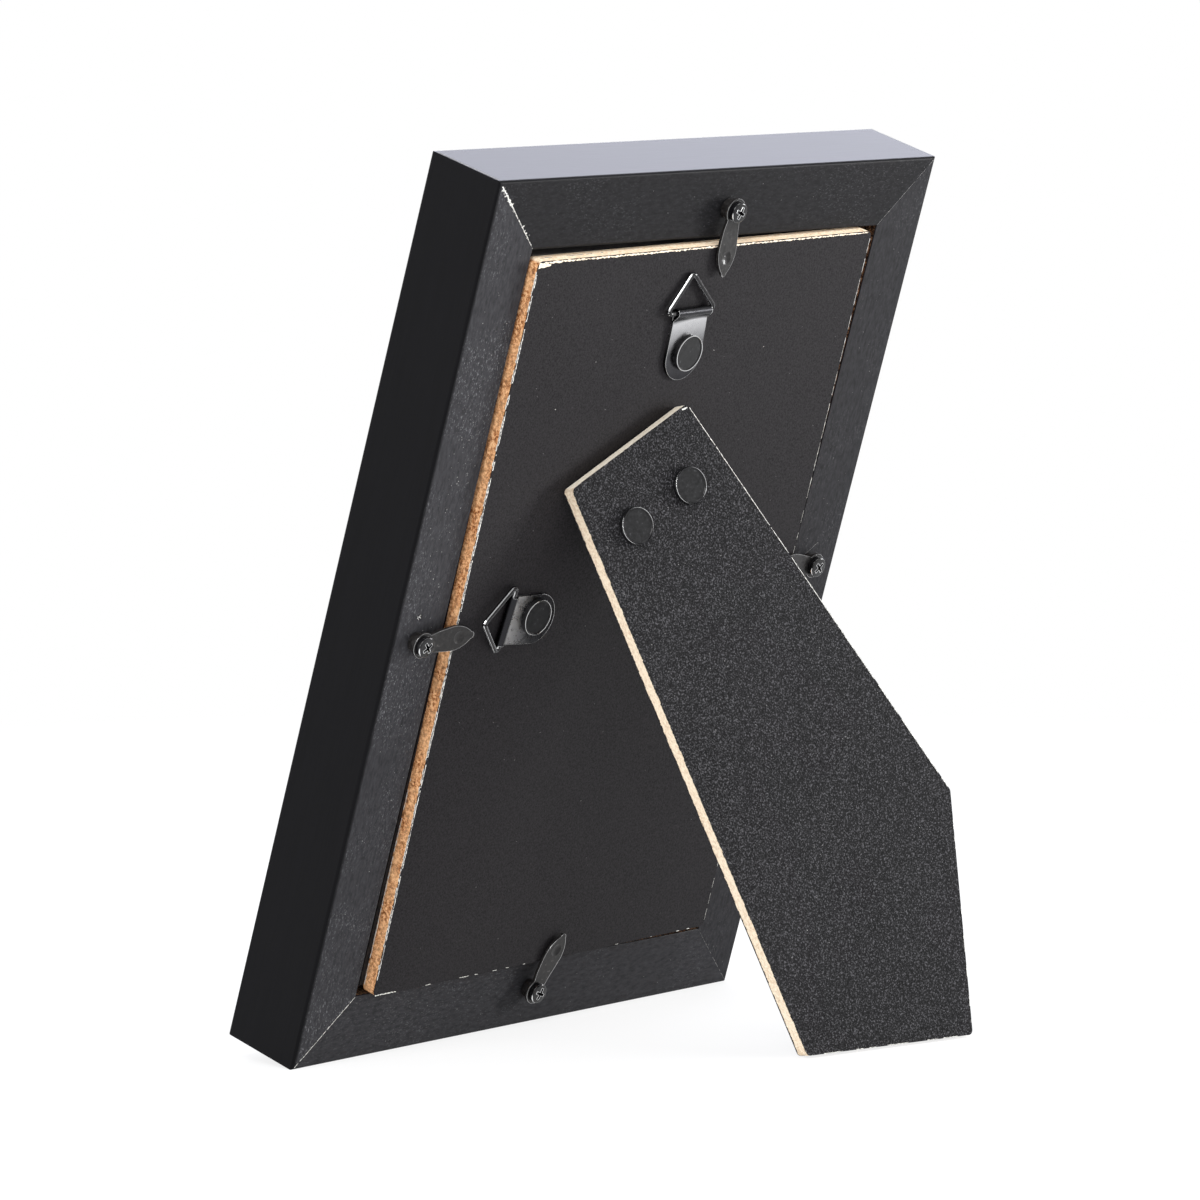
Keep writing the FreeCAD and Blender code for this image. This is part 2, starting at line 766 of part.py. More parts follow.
def standing_matrix(lean):
    """Give the move that stands the frame up and leans it back, its front towards -Y."""
    right = Vector(-1, 0, 0)
    rise = Vector(0, math.sin(lean), math.cos(lean))
    out = Vector(0, math.cos(lean), -math.sin(lean))
    return Matrix(right.x, rise.x, out.x, 0, right.y, rise.y, out.y, 0,
                  right.z, rise.z, out.z, 0, 0, 0, 0, 1)


def build():
    """Make every piece, drawn flat."""
    pieces = rails()
    pieces["corner_v_nails"] = v_nails()
    low = -rabbet_depth
    pieces["glass_pane"] = sheet(glass_gap, low, glass_thickness)
    low += glass_thickness
    pieces["picture_print"] = sheet(print_gap, low, print_thickness)
    low += print_thickness
    pieces["filler_card"] = filler_card(low)
    pieces["backing_board"] = board_layer(-board_thickness, -board_paper)
    pieces["backing_paper"] = board_layer(-board_paper, 0)
    for name, x, y, angle, shape, dip in hanger_places():
        made = hanger(x, y, angle, shape, dip)
        for piece, solid in zip(("strap", "rivet", "ring"), made):
            pieces[f"{name}_hanger_{piece}"] = solid
    for name, x, y, angle, turn in screw_places():
        pieces[f"{name}_button"] = placed(button(), x, y, 0, angle)
        pieces[f"{name}_button_screw"] = placed(screw(), x, y, 0, turn)
    pieces.update(leg_and_hinge())
    return pieces


def stand(pieces):
    """Lean the frame back and set the origin on the floor under its middle."""
    lean = lean_angle()
    matrix = standing_matrix(lean)
    stood = {name: solid.transformed(matrix) for name, solid in pieces.items()}
    box = Part.makeCompound(list(stood.values())).optimalBoundingBox(False)
    middle = Vector(-box.Center.x, -box.Center.y, -box.ZMin)
    for solid in stood.values():
        solid.translate(middle)
    return stood, lean, middle


def report(lean, middle):
    """Print the joints and lean, in the frame's own place."""
    turn = standing_matrix(lean)

    def world(place):
        """Give a place in the standing frame."""
        moved = turn.multVec(place) + middle
        return [round(value / 1000, 6) for value in moved]

    def way(direction):
        """Give a direction in the standing frame."""
        return [round(value, 6) for value in turn.multVec(direction)]

    def board_place(x, y, z):
        """Move a place from the board's axes to the frame's."""
        return Rotation(Vector(0, 0, 1), board_turn).multVec(Vector(x, y, z)) + Vector(board_x, board_y, board_face)

    print("lean", round(math.degrees(lean), 4))
    print("leg hinge", world(opened_place(Vector(0, 0, 0))), way(opened_vector(Vector(1, 0, 0))))
    for name, x, y, _, _ in screw_places():
        print(name, "button", world(Vector(x, y, screw_seat)), way(Vector(0, 0, 1)))
    for name, x, y, angle, _, dip in hanger_places():
        bar = Rotation(Vector(0, 0, 1), angle).multVec(Vector(strap_reach, strap_skew, 0))
        along = Rotation(Vector(0, 0, 1), angle + board_turn).multVec(Vector(0, 1, 0))
        print(name, "ring", world(board_place(x + bar.x, y + bar.y, strap_tube)), way(along))
        print(name, "ring dip", round(dip, 3))


os.makedirs("parts", exist_ok=True)
standing, leaned, moved_by = stand(build())
for node, shape in standing.items():
    shape.exportStep(f"parts/{node}.step")
report(leaned, moved_by)
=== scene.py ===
# %% [markdown]
# # An easel back photo frame, dressed for the studio
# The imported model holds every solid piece: rails, backing board, turn buttons, hanging rings, hinge and
# leg. This lesson gives each of them its finish, and adds what is too small for a workshop drawing:
# torn paper lips, chipped mitres and scuffs.

# %% Load the model
import json
import math
import random

import bmesh
import bpy
from mathutils import Matrix, Vector


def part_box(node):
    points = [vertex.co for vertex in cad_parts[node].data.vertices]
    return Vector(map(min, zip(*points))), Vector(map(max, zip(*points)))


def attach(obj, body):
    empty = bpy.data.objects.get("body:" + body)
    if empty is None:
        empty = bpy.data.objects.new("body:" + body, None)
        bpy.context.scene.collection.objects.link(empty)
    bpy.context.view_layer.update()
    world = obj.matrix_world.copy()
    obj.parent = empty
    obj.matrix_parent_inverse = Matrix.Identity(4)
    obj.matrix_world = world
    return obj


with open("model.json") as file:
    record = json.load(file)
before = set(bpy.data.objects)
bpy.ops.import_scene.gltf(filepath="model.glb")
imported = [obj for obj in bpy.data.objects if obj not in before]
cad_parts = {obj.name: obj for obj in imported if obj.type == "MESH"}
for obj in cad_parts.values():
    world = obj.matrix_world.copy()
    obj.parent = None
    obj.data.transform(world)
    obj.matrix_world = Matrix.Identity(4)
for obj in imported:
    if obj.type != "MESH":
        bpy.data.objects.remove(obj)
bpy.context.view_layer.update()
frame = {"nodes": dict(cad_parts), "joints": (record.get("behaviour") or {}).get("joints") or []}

# %% [markdown]
# ## The frame's own directions
# The frame leans back on its leg, so its faces lie along no world axis. Its own directions are read
# from a turn button's axis, which stands straight out of the back. All places below are written in
# millimetres as someone behind the frame measures them: x to the right, y up the frame, z out of its
# back. One helper turns such a place into the room's metres. Two more turn shapes to face a direction
# and put them in the room.

# %% Places on the rails
MM = 0.001  # one millimetre in metres


def joint(name):
    """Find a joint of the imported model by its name."""
    return next(entry for entry in frame["joints"] if entry["name"] == name)


OUT = Vector(joint("top_button_turn")["axis"])
RISE = Vector((0, -OUT.z, OUT.y))
RIGHT = Vector((-1, 0, 0))
MIDDLE = Vector((0, -0.00374037, 0.086719))  # the middle of the rails' back face


def on_frame(x, y, z=0.0):
    """Give the room's place for millimetres measured on the back of the rails."""
    return MIDDLE + (RIGHT * x + RISE * y + OUT * z) * MM


def facing(direction):
    """Give the turn that points a shape's own z along a direction of the room."""
    return direction.to_track_quat("Z", "Y").to_matrix().to_4x4()


def into_room(name, mesh):
    """Turn a bmesh into an object whose origin is the room's own."""
    data = bpy.data.meshes.new(name)
    mesh.to_mesh(data)
    mesh.free()
    thing = bpy.data.objects.new(name, data)
    bpy.context.scene.collection.objects.link(thing)
    return thing


LEAN = math.atan2(-OUT.z, OUT.y)
print("the frame leans back by", round(math.degrees(LEAN), 2), "degrees")

# %% [markdown]
# ## Camera
# The photograph was taken with a long lens from behind the frame, a little to its left and above. A
# long lens keeps the rails' edges nearly parallel. The lens and place were worked out from the frame's
# corners in the picture, so the camera is set by numbers and isn't aimed by eye.

# %% Set the camera
camera_data = bpy.data.cameras.new("long_lens")
camera_data.sensor_width = 36
camera_data.lens = 193.22  # millimetres, a long portrait lens
camera_data.clip_start = 0.05
camera = bpy.data.objects.new("long_lens", camera_data)
bpy.context.scene.collection.objects.link(camera)
look = Vector((-0.754387, -0.646440, -0.114083)).normalized()
camera_right = Vector((-0.650713, 0.759324, 0.000280)).normalized()
camera_up = camera_right.cross(look)
camera_place = Vector((0.959655, 0.813516, 0.232619))
camera.matrix_world = Matrix.Translation(camera_place) @ Matrix(
    (camera_right, camera_up, -look)).transposed().to_4x4()
bpy.context.scene.camera = camera
bpy.context.scene.view_settings.view_transform = "Standard"
print("camera is", round(camera_place.length, 3), "m from the origin")

# %% [markdown]
# ## Room
# The frame stands on a white table in front of white paper. The table's colour alone would come out a
# little grey, so the camera, and what mirrors or lets through the room, sees it as white, while it
# still takes the frame's shadow. A mix by the kind of ray does that. Further off the white takes over,
# so that the table's far edge doesn't show as a line.

# %% Make the table and the white room


def white_for_the_eye(tree):
    """Give a factor that is 1 for camera, mirror and see-through rays."""
    rays = tree.nodes.new("ShaderNodeLightPath")
    factor = rays.outputs["Is Camera Ray"]
    for kind in ("Is Glossy Ray", "Is Transmission Ray"):
        either = tree.nodes.new("ShaderNodeMath")
        either.operation = "MAXIMUM"
        tree.links.new(factor, either.inputs[0])
        tree.links.new(rays.outputs[kind], either.inputs[1])
        factor = either.outputs[0]
    return factor


TABLE_REACH = 4.0
WHITE_FROM, WHITE_AT = 0.22, 0.5  # metres from the frame, between which the table turns fully white
table_mesh = bmesh.new()
bmesh.ops.create_grid(table_mesh, x_segments=2, y_segments=2, size=TABLE_REACH)
table = into_room("white_table", table_mesh)
table_paint = bpy.data.materials.new("white_table")
table_paint.use_nodes = True
tree = table_paint.node_tree
tree.nodes.clear()
matt = tree.nodes.new("ShaderNodeBsdfDiffuse")
matt.inputs["Color"].default_value = (0.86, 0.86, 0.86, 1)
glow = tree.nodes.new("ShaderNodeEmission")
glow.inputs["Color"].default_value = (1, 1, 1, 1)
blend = tree.nodes.new("ShaderNodeMixShader")
out = tree.nodes.new("ShaderNodeOutputMaterial")
spot = tree.nodes.new("ShaderNodeTexCoord")
distance = tree.nodes.new("ShaderNodeVectorMath")
distance.operation = "LENGTH"
tree.links.new(spot.outputs["Object"], distance.inputs[0])
fade = tree.nodes.new("ShaderNodeMapRange")
for socket, value in (("From Min", WHITE_FROM), ("From Max", WHITE_AT), ("To Min", 0.8), ("To Max", 1.0)):
    fade.inputs[socket].default_value = value
tree.links.new(distance.outputs["Value"], fade.inputs["Value"])
seen = tree.nodes.new("ShaderNodeMath")
seen.operation = "MULTIPLY"
tree.links.new(white_for_the_eye(tree), seen.inputs[0])
tree.links.new(fade.outputs["Result"], seen.inputs[1])
tree.links.new(seen.outputs[0], blend.inputs["Fac"])
tree.links.new(matt.outputs[0], blend.inputs[1])
tree.links.new(glow.outputs[0], blend.inputs[2])
tree.links.new(blend.outputs[0], out.inputs["Surface"])
table.data.materials.append(table_paint)

room = bpy.data.worlds.new("white_room")
bpy.context.scene.world = room
room.use_nodes = True
tree = room.node_tree
tree.nodes.clear()
soft = tree.nodes.new("ShaderNodeBackground")
soft.inputs["Color"].default_value = (0.93, 0.95, 1.0, 1)
soft.inputs["Strength"].default_value = 0.8
paper = tree.nodes.new("ShaderNodeBackground")
paper.inputs["Color"].default_value = (1, 1, 1, 1)
paper.inputs["Strength"].default_value = 1.0
blend = tree.nodes.new("ShaderNodeMixShader")
out = tree.nodes.new("ShaderNodeOutputWorld")
tree.links.new(white_for_the_eye(tree), blend.inputs["Fac"])
tree.links.new(soft.outputs[0], blend.inputs[1])
tree.links.new(paper.outputs[0], blend.inputs[2])
tree.links.new(blend.outputs[0], out.inputs["Surface"])
print("white table and white room are set")

# %% [markdown]
# ## Lamps
# Product pictures like this one are lit by big soft boxes and by the bright table itself. One box on
# the right throws the soft shadows to the left of every button and ring. One hangs in front, high up,
# where the top rail mirrors it, and one hangs overhead. The others light the picture side and the raw
# edges on the left.

# %% Hang the soft boxes
aim = Vector((0.0, 0.0, 0.09))  # the middle of the standing frame


def soft_box(name, direction, distance, size, power, colour=(1, 1, 1)):
    """Hang a square lamp that looks at the frame from a direction of the room."""
    lamp_data = bpy.data.lights.new(name, "AREA")
    lamp_data.shape = "SQUARE"
    lamp_data.size = size
    lamp_data.energy = power
    lamp_data.color = colour
    lamp = bpy.data.objects.new(name, lamp_data)
    bpy.context.scene.collection.objects.link(lamp)
    way = Vector(direction).normalized()
    lamp.matrix_world = Matrix.Translation(aim + way * distance) @ facing(way)
    print(name, "hangs at", [round(value, 2) for value in lamp.location])


soft_box("right_box", (-0.86, 0.50, 0.10), 0.9, 0.24, 6.4)
soft_box("high_box", (-0.754, -0.467, 0.461), 1.1, 0.75, 9.5, (0.83, 0.85, 1.0))
soft_box("over_box", (-0.12, 0.35, 0.93), 1.0, 0.5, 4.4)
soft_box("front_box", (0.3, -0.95, 0.35), 1.3, 0.6, 5.0)
soft_box("left_high_box", (0.72, 0.25, 0.65), 1.0, 0.5, 6.5)
soft_box("left_glint", (0.93, -0.12, 0.22), 0.8, 0.14, 1.5)

# %% [markdown]
# ## A helper for finishes
# Every finish is one Principled shader with a few textures. Fixed values sit on the shader itself. The
# textures read Object coordinates, which are the room's metres here, so a scale of 1000 has one grain
# for each millimetre.

# %% Start a finish


class Finish:
    """A material under construction: its tree, its shader and short ways to add nodes."""

    def __init__(self, name, colour, roughness, **fixed):
        self.material = bpy.data.materials.new(name)
        self.material.use_nodes = True
        self.tree = self.material.node_tree
        self.shader = self.tree.nodes["Principled BSDF"]
        self.shader.inputs["Base Color"].default_value = (*colour, 1)
        self.shader.inputs["Roughness"].default_value = roughness
        for socket, value in fixed.items():
            self.shader.inputs[socket.replace("_", " ")].default_value = value
        self.coordinates = self.add("ShaderNodeTexCoord")
        self.where = self.coordinates.outputs["Object"]

    def add(self, kind, **values):
        """Add a node and set its properties."""
        node = self.tree.nodes.new(kind)
        for key, value in values.items():
            setattr(node, key, value)
        return node

    def join(self, start, end):
        """Link two sockets."""
        self.tree.links.new(start, end)

    def stretch(self, turn=(0, 0, 0), scale=(1, 1, 1)):
        """Turn the coordinates, then stretch them."""
        first = self.add("ShaderNodeMapping")
        first.inputs["Rotation"].default_value = turn
        second = self.add("ShaderNodeMapping")
        second.inputs["Scale"].default_value = scale
        self.join(self.where, first.inputs["Vector"])
        self.join(first.outputs["Vector"], second.inputs["Vector"])
        return second.outputs["Vector"]

    def noise(self, scale, detail=4.0, rough=0.6, vector=None):
        """Add a cloud of noise and return its factor."""
        node = self.add("ShaderNodeTexNoise")
        node.inputs["Scale"].default_value = scale
        node.inputs["Detail"].default_value = detail
        node.inputs["Roughness"].default_value = rough
        self.join(vector or self.where, node.inputs["Vector"])
        return node.outputs["Fac"]

    def ramp(self, factor, stops):
        """Turn a factor into a colour by (place, colour) stops."""
        node = self.add("ShaderNodeValToRGB")
        band = node.color_ramp
        while len(band.elements) < len(stops):
            band.elements.new(0.5)
        for element, (place, colour) in zip(band.elements, stops):
            element.position = place
            element.color = (*colour, 1)
        self.join(factor, node.inputs["Fac"])
        return node.outputs["Color"]

    def mix(self, factor, low, high):
        """Mix two colours or sockets by a factor."""
        node = self.add("ShaderNodeMix", data_type="RGBA")
        for value, name in ((factor, "Factor"), (low, "A"), (high, "B")):
            socket = node.inputs[name]
            if isinstance(value, tuple):
                socket.default_value = (*value, 1)
            elif isinstance(value, float):
                socket.default_value = value
            else:
                self.join(value, socket)
        return node.outputs["Result"]

    def grey(self, factor, low, high, out_low, out_high):
        """Map a factor from one span of values to another."""
        node = self.add("ShaderNodeMapRange")
        for socket, value in (("From Min", low), ("From Max", high),
                              ("To Min", out_low), ("To Max", out_high)):
            node.inputs[socket].default_value = value
        self.join(factor, node.inputs["Value"])
        return node.outputs["Result"]

    def colour(self, socket):
        """Feed the base colour."""
        self.join(socket, self.shader.inputs["Base Color"])

    def rough(self, socket):
        """Feed the roughness."""
        self.join(socket, self.shader.inputs["Roughness"])

    def bump(self, height, depth):
        """Raise the surface by a height whose full depth is given in metres."""
        node = self.add("ShaderNodeBump")
        node.inputs["Distance"].default_value = depth
        self.join(height, node.inputs["Height"])
        self.join(node.outputs["Normal"], self.shader.inputs["Normal"])

    def both(self, how, first, second):
        """Join two factors into one by MULTIPLY or MAXIMUM."""
        node = self.add("ShaderNodeMath", operation=how)
        self.join(first, node.inputs[0])
        self.join(second, node.inputs[1])
        return node.outputs[0]

    def dot(self, socket, direction):
        """Give how far a vector goes along a direction."""
        node = self.add("ShaderNodeVectorMath", operation="DOT_PRODUCT")
        node.inputs[1].default_value = direction
        self.join(socket, node.inputs[0])
        return node.outputs["Value"]


def dress(finish, *nodes):
    """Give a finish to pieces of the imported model."""
    for node in nodes:
        target = frame["nodes"][node]
        target.data.materials.clear()
        target.data.materials.append(finish.material)
    print(finish.material.name, "is on", ", ".join(nodes))


# %% [markdown]
# ## Black rails
# The rails are fibreboard wrapped in black foil with a fine brushed grain that runs along each rail.
# Their outer sides are nearly black. Their backs carry streaks and dust, and they are painted charcoal,
# lighter than the sides, as painted light that falls on the back. The step that the board lies in is raw
# and speckled brown. One finish does all three: it asks which way the surface faces and mixes the tones
# by that. Each rail has its own, because the grain turns at the corners, the left rail is dustier than
# the top one, and each rail's tone is painted light: the most lit, the left rail, is painted lightest.
# Along the outer left corner the foil is creased over in a dark line.

# %% Wrap the rails


def turned_to(finish, direction, low, high):
    """Give a factor that is 1 where the surface faces a direction of the room."""
    return finish.grey(finish.dot(finish.coordinates.outputs["Normal"], direction), low, high, 0.0, 1.0)


RABBET_X, RABBET_Y = 50, 75  # between the window's walls and the rabbet's, from the middle
CREASE_FROM, CREASE_AT = 0.0649, 0.0653  # metres to the left, where the foil folds over the outer corner


def black_foil(name, along, inward, step, tone, dusty_share):
    """Make one rail's foil: grain along x or y, raw inner wall past a step, dusty back lit by painted light.
    """
    foil = Finish(name, (0.006, 0.006, 0.007), 0.4, Specular_IOR_Level=0.07)
    level = (LEAN, 0, 0)

    def lengthwise(slow, fast):
        """Stretch the coordinates along the rail."""
        return foil.stretch(level, (slow, fast, fast) if along == "x" else (fast, fast, slow))

    fine = foil.noise(1.0, 3.0, 0.55, lengthwise(60, 2600))
    side_grain = foil.ramp(fine, [(0.3, (0.0014, 0.0014, 0.002)), (0.7, (0.0062, 0.006, 0.0078))])
    streak = foil.noise(1.0, 4.0, 0.6, lengthwise(500, 1500))
    # tone raises this charcoal by how much light falls on the rail: painted light.
    streaks_in_painted_light = foil.ramp(streak, [(0.3, (0.012 * tone, 0.0118 * tone, 0.0128 * tone)),
                                (0.7, (0.026 * tone, 0.0256 * tone, 0.0278 * tone))])
    fleck = foil.noise(1.0, 2.0, 0.8, lengthwise(1500, 2900))
    patch = foil.noise(38, 4.0, 0.6)
    dust = foil.mix(1.0, foil.ramp(fleck, [(0.56, (0, 0, 0)), (0.7, (1, 1, 1))]),
                    foil.ramp(patch, [(0.44, (0.05, 0.05, 0.05)), (0.6, (dusty_share,) * 3)]))
    dust.node.blend_type = "MULTIPLY"
    dust_and_painted_light = foil.mix(dust, streaks_in_painted_light, (0.17, 0.168, 0.175))
    # The back faces take the lighter charcoal, which is painted light; the sides keep the near-black grain.
    back = turned_to(foil, OUT, 0.88, 0.99)
    raw = foil.ramp(foil.noise(1700, 4.0, 0.8),
                    [(0.4, (0.006, 0.005, 0.004)), (0.5, (0.035, 0.02, 0.013)), (0.62, (0.3, 0.18, 0.1))])
    place = foil.add("ShaderNodeSeparateXYZ")
    foil.join(foil.where, place.inputs["Vector"])
    crease = foil.grey(place.outputs["X"], CREASE_FROM, CREASE_AT, 0.0, 0.8)
    creased = foil.mix(crease, foil.mix(back, side_grain, dust_and_painted_light), (0.003, 0.003, 0.0035))
    edge = MIDDLE.dot(inward) - step * MM
    behind = foil.grey(foil.dot(foil.where, inward), edge, edge + 0.5 * MM, 1.0, 0.0)
    rabbet_wall = foil.both("MULTIPLY", behind, turned_to(foil, inward, 0.9, 0.98))
    foil.colour(foil.mix(rabbet_wall, creased, raw))
    foil.rough(foil.grey(back, 0.0, 1.0, 0.38, 0.62))
    foil.bump(fine, 0.000008)
    return foil


# Each rail's tone is painted light: highest on the left rail, which is most lit, lowest on the top one.
dress(black_foil("top_foil", "x", -RISE, RABBET_Y, 0.62, 0.25), "top_rail")
dress(black_foil("bottom_foil", "x", RISE, RABBET_Y, 1.45, 0.35), "bottom_rail")
dress(black_foil("left_foil", "y", RIGHT, RABBET_X, 1.75, 0.9), "left_rail")
dress(black_foil("right_foil", "y", -RIGHT, RABBET_X, 1.15, 0.4), "right_rail")

# %% [markdown]
# ## Black paper and fibreboard
# The board and the leg are fibreboard with embossed black paper on their faces. The tips of the paper's
# fine grain are painted grey, as painted highlights, and its pits are painted darker, as painted shade.
# Where the board was sawn its fibres show: brown at the sides, and painted cream along the top, as
# painted light from above.

# %% Make the papers and the raw edges


def black_paper(name, low, high, pit_shade_share, grain_scale, highlight_from, fleck):
    """Make embossed black paper: tones, how dark the shade painted in its pits is, grain, and how rare the
    highlights painted on its grain are.
    """
    paper = Finish(name, low, 0.7, Specular_IOR_Level=0.12)
    grain = paper.noise(grain_scale, 2.0, 0.7)
    cloud = paper.noise(45, 3.0, 0.5)
    # The grain's pits are painted darker: painted shade.
    pits_painted_shade = paper.ramp(grain, [(0.34, tuple(pit_shade_share * c for c in low)), (0.58, high)])
    tone = paper.mix(paper.grey(cloud, 0.3, 0.7, 0.0, 0.35), pits_painted_shade, high)
    # The grain's tips are painted as grey specks: painted highlights.
    painted_grain_highlights = paper.ramp(grain, [(highlight_from, (0, 0, 0)), (highlight_from + 0.13, (1, 1, 1))])
    paper.colour(paper.mix(painted_grain_highlights, tone, fleck))
    paper.rough(paper.grey(grain, 0.3, 0.7, 0.8, 0.55))
    paper.bump(grain, 0.00009 * (1.1 - pit_shade_share))
    return paper


def raw_edge(name, dark, mid, light, fine=900, top=None):
    """Make sawn fibreboard from three tones, and from a second three painted on the side that faces up as
    painted light.
    """
    edge = Finish(name, mid, 0.85, Specular_IOR_Level=0.2)
    strands = edge.noise(fine, 5.0, 0.75)
    clumps = edge.noise(240, 3.0, 0.6)
    clumped = edge.grey(clumps, 0.4, 0.65, 0.0, 0.45)
    tone = edge.mix(clumped, edge.ramp(strands, [(0.4, dark), (0.49, mid), (0.6, light)]), light)
    # The side that faces up is painted lighter, as painted light from above.
    if top is not None:
        painted_light_top = edge.ramp(strands, [(0.28, top[0]), (0.42, top[1]), (0.6, top[2])])
        tone = edge.mix(turned_to(edge, RISE, 0.6, 0.9), tone, painted_light_top)
    edge.colour(tone)
    edge.bump(strands, 0.00015)
    return edge


dress(black_paper("board_paper", (0.0122, 0.0109, 0.0119), (0.0158, 0.0142, 0.0154), 0.7, 2600, 0.72,
                  (0.06, 0.057, 0.06)), "backing_paper")
leg_paper = black_paper("leg_paper", (0.005, 0.0049, 0.0054), (0.0112, 0.0109, 0.0118), 0.3, 2900, 0.54,
                        (0.08, 0.078, 0.083))
dress(leg_paper, "leg_outer_paper", "leg_inner_paper")
dress(raw_edge("board_fibre", (0.11, 0.03, 0.008), (0.5, 0.19, 0.06), (0.86, 0.52, 0.27), 1500,
               ((0.45, 0.2, 0.09), (0.9, 0.66, 0.42), (1.0, 0.86, 0.67))), "backing_board")
dress(raw_edge("leg_fibre", (0.6, 0.45, 0.3), (0.75, 0.61, 0.45), (0.82, 0.71, 0.55), 1600,
               ((0.8, 0.68, 0.5), (0.97, 0.9, 0.76), (1.0, 0.96, 0.86))), "leg_board")

# %% [markdown]
# ## Small metal parts
# The straps are steel with a thin black plating. Its colour is a painted reflection: painted satin grey
# in a band near the fold, painted dark on the fold's tube, and darker towards the rivet. Buttons and
# rivets have thick black enamel with a few pale scuffs.

# %% Coat the metal parts


def gloss_black(name, colour, coat):
    """Make stove enamel on pressed steel."""
    roughness = 0.34
    enamel = Finish(name, colour, roughness, Specular_IOR_Level=0.2, Coat_Weight=coat, Coat_Roughness=0.06)
    ripple = enamel.noise(380, 2.0, 0.5)
    smudge = enamel.noise(1400, 3.0, 0.6)
    enamel.rough(enamel.grey(smudge, 0.3, 0.7, roughness - 0.06, roughness + 0.1))
    enamel.colour(enamel.ramp(smudge, [(0.35, tuple(0.6 * c for c in colour)),
                                       (0.64, tuple(1.4 * c for c in colour)),
                                       (0.76, tuple(9 * c for c in colour))]))
    enamel.bump(ripple, 0.00003)
    return enamel


# Where the flat plate ends the painted reflection is brightest; beyond it, on the tube, it is painted dark.
PLATE_EDGE = 0.86  # the share of the way to the fold where the flat plate ends


def plating_with_painted_reflection(name, rivet, fold):
    """Make a strap's plating whose colour is a painted reflection, brightening from its rivet to its fold."""
    plating = Finish(name, (0.1, 0.1, 0.1), 0.3, Metallic=1.0)
    way = fold - rivet
    along = plating.dot(plating.where, way / way.length_squared)
    start = rivet.dot(way) / way.length_squared
    run = plating.grey(along, start - 0.6, start + 1.0, 0.0, 1.0)
    smudge = plating.noise(700, 3.0, 0.6)
    painted_reflection_run = plating.mix(0.02, run, smudge)
    # This ramp is a painted reflection: dark by the rivet, a bright band at PLATE_EDGE, dark on the tube.
    plating.colour(plating.ramp(painted_reflection_run, [(0.0, (0.014, 0.014, 0.016)), (0.45, (0.07, 0.07, 0.075)),
                                        (PLATE_EDGE, (0.55, 0.55, 0.56)),
                                        (PLATE_EDGE + 0.05, (0.03, 0.03, 0.033))]))
    plating.rough(plating.grey(smudge, 0.3, 0.7, 0.22, 0.36))
    plating.bump(plating.noise(500, 2.0, 0.5), 0.00002)
    return plating


for side in ("top", "left"):
    low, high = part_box(f"{side}_hanger_rivet")
    rivet_middle = (Vector(low) + Vector(high)) / 2
    fold_middle = Vector(joint(f"{side}_ring_swing")["pos_m"])
    dress(plating_with_painted_reflection(f"{side}_plating", rivet_middle, fold_middle), f"{side}_hanger_strap")
dress(gloss_black("rivet_enamel", (0.007, 0.007, 0.0076), 0.1), "top_hanger_rivet", "left_hanger_rivet",
      "leg_rivets")
dress(gloss_black("button_enamel", (0.0125, 0.0115, 0.0112), 0.12), "top_button", "bottom_button",
      "left_button", "right_button")

# %% [markdown]
# ## Painted glints on wire and screws
# The rings' black enamel has painted highlights: two bright bands of metal colour along the outside of
# the wire and a thinner one along the inside. The screws have painted highlights on the faces of their
# heads and recesses that turn left and down. Both finishes ask which way the surface faces.

# %% Paint glints on the rings and the screws


def enamel_with_painted_glints(name, body_tone, glint_bands, metal):
    """Make black enamel with painted highlights in bands of metal colour, each a direction and how near to it
    the band begins.
    """
    glint_finish = Finish(name, body_tone, 0.2, Specular_IOR_Level=0.25, Coat_Weight=0.25, Coat_Roughness=0.08)
    scuff = glint_finish.noise(1600, 3.0, 0.6)
    amount = turned_to(glint_finish, *glint_bands[0])
    for band in glint_bands[1:]:
        amount = glint_finish.both("MAXIMUM", amount, turned_to(glint_finish, *band))
    broken = glint_finish.mix(0.12, amount, scuff)
    glint_finish.colour(glint_finish.ramp(broken, [(0.25, body_tone), (0.8, (metal, metal, metal))]))
    glint_finish.join(glint_finish.grey(amount, 0.2, 0.9, 0.0, 1.0), glint_finish.shader.inputs["Metallic"])
    glint_finish.rough(glint_finish.grey(scuff, 0.3, 0.7, 0.14, 0.26))
    glint_finish.bump(glint_finish.noise(420, 2.0, 0.5), 0.00002)
    return glint_finish


# Bright bands painted along the ring wire: painted highlights.
ring_glint_bands = [((OUT * 0.45 - RIGHT * 0.8 + RISE * 0.4).normalized(), 0.86, 0.96),
              ((OUT * 0.35 - RIGHT * 0.75 - RISE * 0.55).normalized(), 0.88, 0.97),
              ((OUT * 0.8 + RIGHT * 0.6 + RISE * 0.1).normalized(), 0.93, 0.985)]
dress(enamel_with_painted_glints("ring_enamel", (0.0035, 0.0035, 0.004), ring_glint_bands, 0.75), "top_hanger_ring",
      "left_hanger_ring")
# Bright flanks painted on the screws: painted highlights.
screw_glint_bands = [((-RIGHT * 0.8 - RISE * 0.35 + OUT * 0.45).normalized(), 0.9, 0.97),
               ((-RIGHT * 0.3 - RISE * 0.9 + OUT * 0.2).normalized(), 0.88, 0.95)]
dress(enamel_with_painted_glints("screw_enamel", (0.0035, 0.0035, 0.004), screw_glint_bands, 0.8), "top_button_screw",
      "bottom_button_screw", "left_button_screw", "right_button_screw")

# %% [markdown]
# ## Hinge, nails, glass, print and card
# The hinge behind the leg and the nails are bare steel. The glass is thin and clear. The print is blank
# paper. The card behind it is black. The print's thin cut edge and its back are painted black, as
# painted shade from the gap round the board.

# %% Finish the inside


